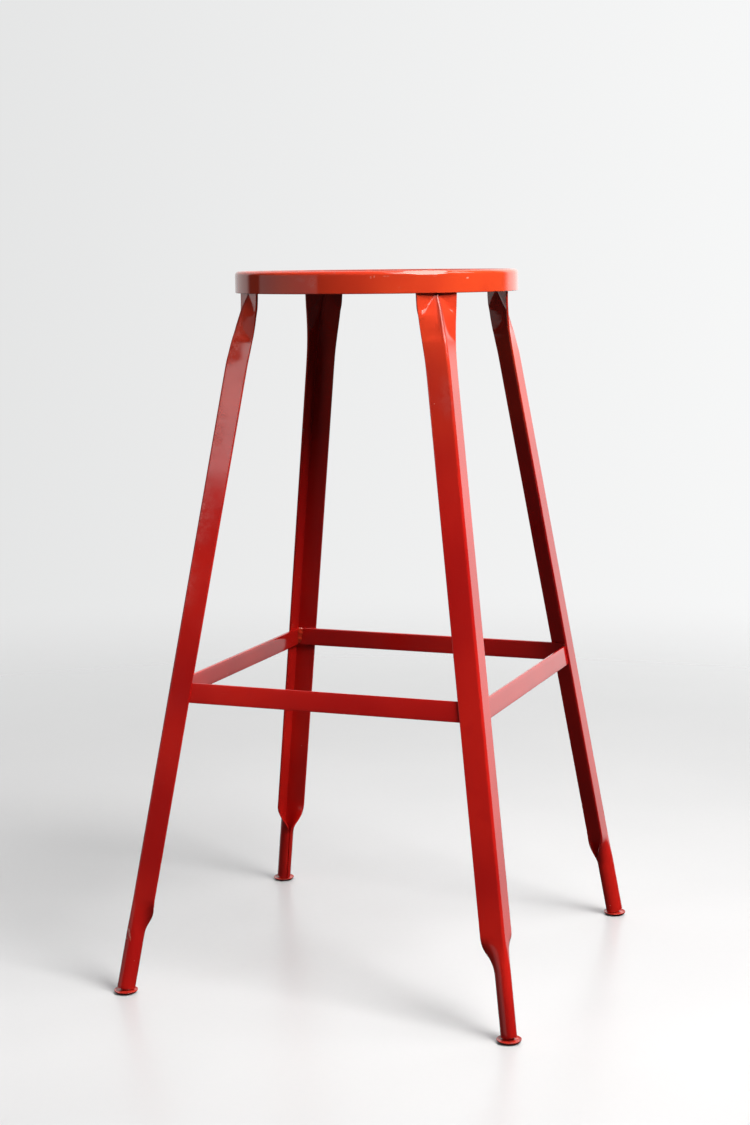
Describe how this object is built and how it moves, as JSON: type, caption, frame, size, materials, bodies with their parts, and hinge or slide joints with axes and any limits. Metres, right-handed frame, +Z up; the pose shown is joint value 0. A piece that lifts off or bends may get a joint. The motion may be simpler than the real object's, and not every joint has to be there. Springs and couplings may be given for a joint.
{
  "type": "stool",
  "caption": "Tall round steel stool: dished pan seat on splayed angle legs, a square flat-bar footrest ring and self-levelling saucer glides.",
  "frame": {"origin": "on the floor, on the seat's vertical axis, centred between the four glides", "axes": "+Z up; the footrest bars run parallel to X and Y, with a leg on each diagonal; the front is at -Y"},
  "size_m": [0.4538, 0.4538, 0.763],
  "materials": {
    "seat_enamel": "gloss red enamel, scuffed",
    "frame_enamel": "gloss red enamel, scuffed and hazed",
    "weld_enamel": "gloss red enamel over a rough weld bead",
    "glide_enamel": "red enamel, worn to bare steel underneath",
    "stem_steel": "zinc-plated, dull",
    "insert_plastic": "black moulded plastic"
  },
  "bodies": {
    "frame": {"seat_pan": "seat_enamel", "leg_front_left": "frame_enamel", "leg_front_right": "frame_enamel", "leg_back_right": "frame_enamel", "leg_back_left": "frame_enamel", "footrest_bar_front": "frame_enamel", "footrest_bar_right": "frame_enamel", "footrest_bar_back": "frame_enamel", "footrest_bar_left": "frame_enamel", "footrest_weld_front_left": "weld_enamel", "footrest_weld_front_right": "weld_enamel", "footrest_weld_back_right": "weld_enamel", "footrest_weld_back_left": "weld_enamel", "seat_weld_front_left": "weld_enamel", "seat_weld_front_right": "weld_enamel", "seat_weld_back_right": "weld_enamel", "seat_weld_back_left": "weld_enamel", "glide_stem_front_left": "stem_steel", "glide_stem_front_right": "stem_steel", "glide_stem_back_right": "stem_steel", "glide_stem_back_left": "stem_steel", "glide_insert_front_left": "insert_plastic", "glide_insert_front_right": "insert_plastic", "glide_insert_back_right": "insert_plastic", "glide_insert_back_left": "insert_plastic"},
    "glide_front_left": {"glide_base_front_left": "glide_enamel"},
    "glide_front_right": {"glide_base_front_right": "glide_enamel"},
    "glide_back_right": {"glide_base_back_right": "glide_enamel"},
    "glide_back_left": {"glide_base_back_left": "glide_enamel"}
  },
  "joints": [
    {"name": "glide_tilt_front_left", "type": "hinge", "parent": "frame", "child": "glide_front_left", "pos_m": [-0.2142, -0.2142, 0.0041], "axis": [-0.7071, 0.7071, 0], "range_deg": [-1.5, 25]},
    {"name": "glide_tilt_front_right", "type": "hinge", "parent": "frame", "child": "glide_front_right", "pos_m": [0.2142, -0.2142, 0.0041], "axis": [-0.7071, -0.7071, 0], "range_deg": [-1.5, 25]},
    {"name": "glide_tilt_back_right", "type": "hinge", "parent": "frame", "child": "glide_back_right", "pos_m": [0.2142, 0.2142, 0.0041], "axis": [0.7071, -0.7071, 0], "range_deg": [-1.5, 25]},
    {"name": "glide_tilt_back_left", "type": "hinge", "parent": "frame", "child": "glide_back_left", "pos_m": [-0.2142, 0.2142, 0.0041], "axis": [0.7071, 0.7071, 0], "range_deg": [-1.5, 25]}
  ]
}
